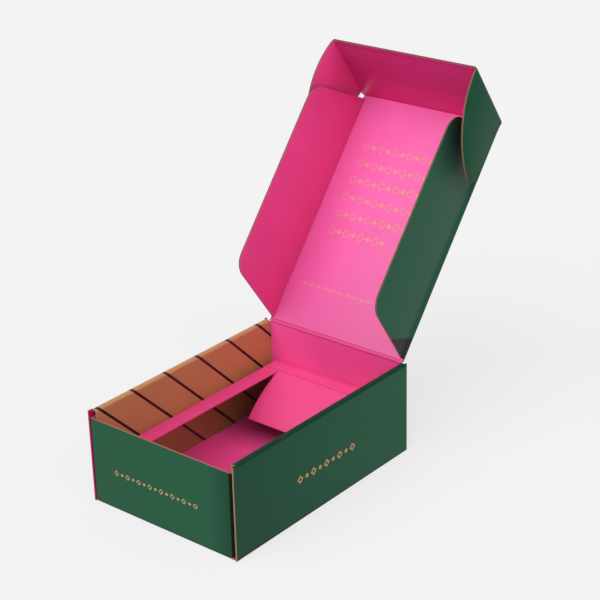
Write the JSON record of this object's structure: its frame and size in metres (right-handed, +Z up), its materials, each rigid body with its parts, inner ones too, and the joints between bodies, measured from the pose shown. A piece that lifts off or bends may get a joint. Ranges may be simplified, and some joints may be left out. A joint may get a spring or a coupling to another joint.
{
  "type": "corrugated mailer box",
  "caption": "Roll-end corrugated mailer box with a hinged tuck-front lid, side flaps, ears and a folded card insert, shown open.",
  "frame": {"origin": "centre of the tray's footprint on the surface that it stands on", "axes": "+Z up, front wall at -Y, lid hinged along the back wall at +Y, +X to the right seen from the front"},
  "size_m": [0.1627, 0.3512, 0.3048],
  "materials": {
    "printed_board": "matt print, green outside and pink inside",
    "insert_card": "matt pink print"
  },
  "bodies": {
    "tray_body": {"tray": "printed_board", "insert": "insert_card"},
    "lid_body": {"lid": "printed_board"},
    "front_flap_body": {"front_flap": "printed_board"},
    "left_side_flap_body": {"left_side_flap": "printed_board"},
    "right_side_flap_body": {"right_side_flap": "printed_board"},
    "left_ear_body": {"left_ear": "printed_board"},
    "right_ear_body": {"right_ear": "printed_board"}
  },
  "joints": [
    {"name": "lid_hinge", "type": "hinge", "parent": "tray_body", "child": "lid_body", "pos_m": [0, 0.1075, 0.08015], "axis": [-1, 0, 0], "range_deg": [-129.3, 30]},
    {"name": "front_flap_fold", "type": "hinge", "parent": "lid_body", "child": "front_flap_body", "pos_m": [0, 0.24266, 0.24529], "axis": [1, 0, 0], "range_deg": [-74.1, 17.3]},
    {"name": "left_side_flap_fold", "type": "hinge", "parent": "lid_body", "child": "left_side_flap_body", "pos_m": [-0.0677, 0.1075, 0.08015], "axis": [0, 0.6334, 0.7738], "range_deg": [-1.5, 6.1]},
    {"name": "right_side_flap_fold", "type": "hinge", "parent": "lid_body", "child": "right_side_flap_body", "pos_m": [0.0677, 0.1075, 0.08015], "axis": [0, -0.6334, -0.7738], "range_deg": [-1.2, 4.6]},
    {"name": "left_ear_fold", "type": "hinge", "parent": "front_flap_body", "child": "left_ear_body", "pos_m": [-0.07215, 0.24266, 0.24529], "axis": [0, -0.5693, 0.8221], "range_deg": [-85, 0.5]},
    {"name": "right_ear_fold", "type": "hinge", "parent": "front_flap_body", "child": "right_ear_body", "pos_m": [0.07215, 0.24266, 0.24529], "axis": [0, 0.5693, -0.8221], "range_deg": [-82, 2]}
  ],
  "couplings": [
    {"joint": "front_flap_fold", "follows": "lid_hinge", "ratio": 0.57231},
    {"joint": "left_side_flap_fold", "follows": "lid_hinge", "ratio": -0.0464},
    {"joint": "right_side_flap_fold", "follows": "lid_hinge", "ratio": -0.035}
  ]
}
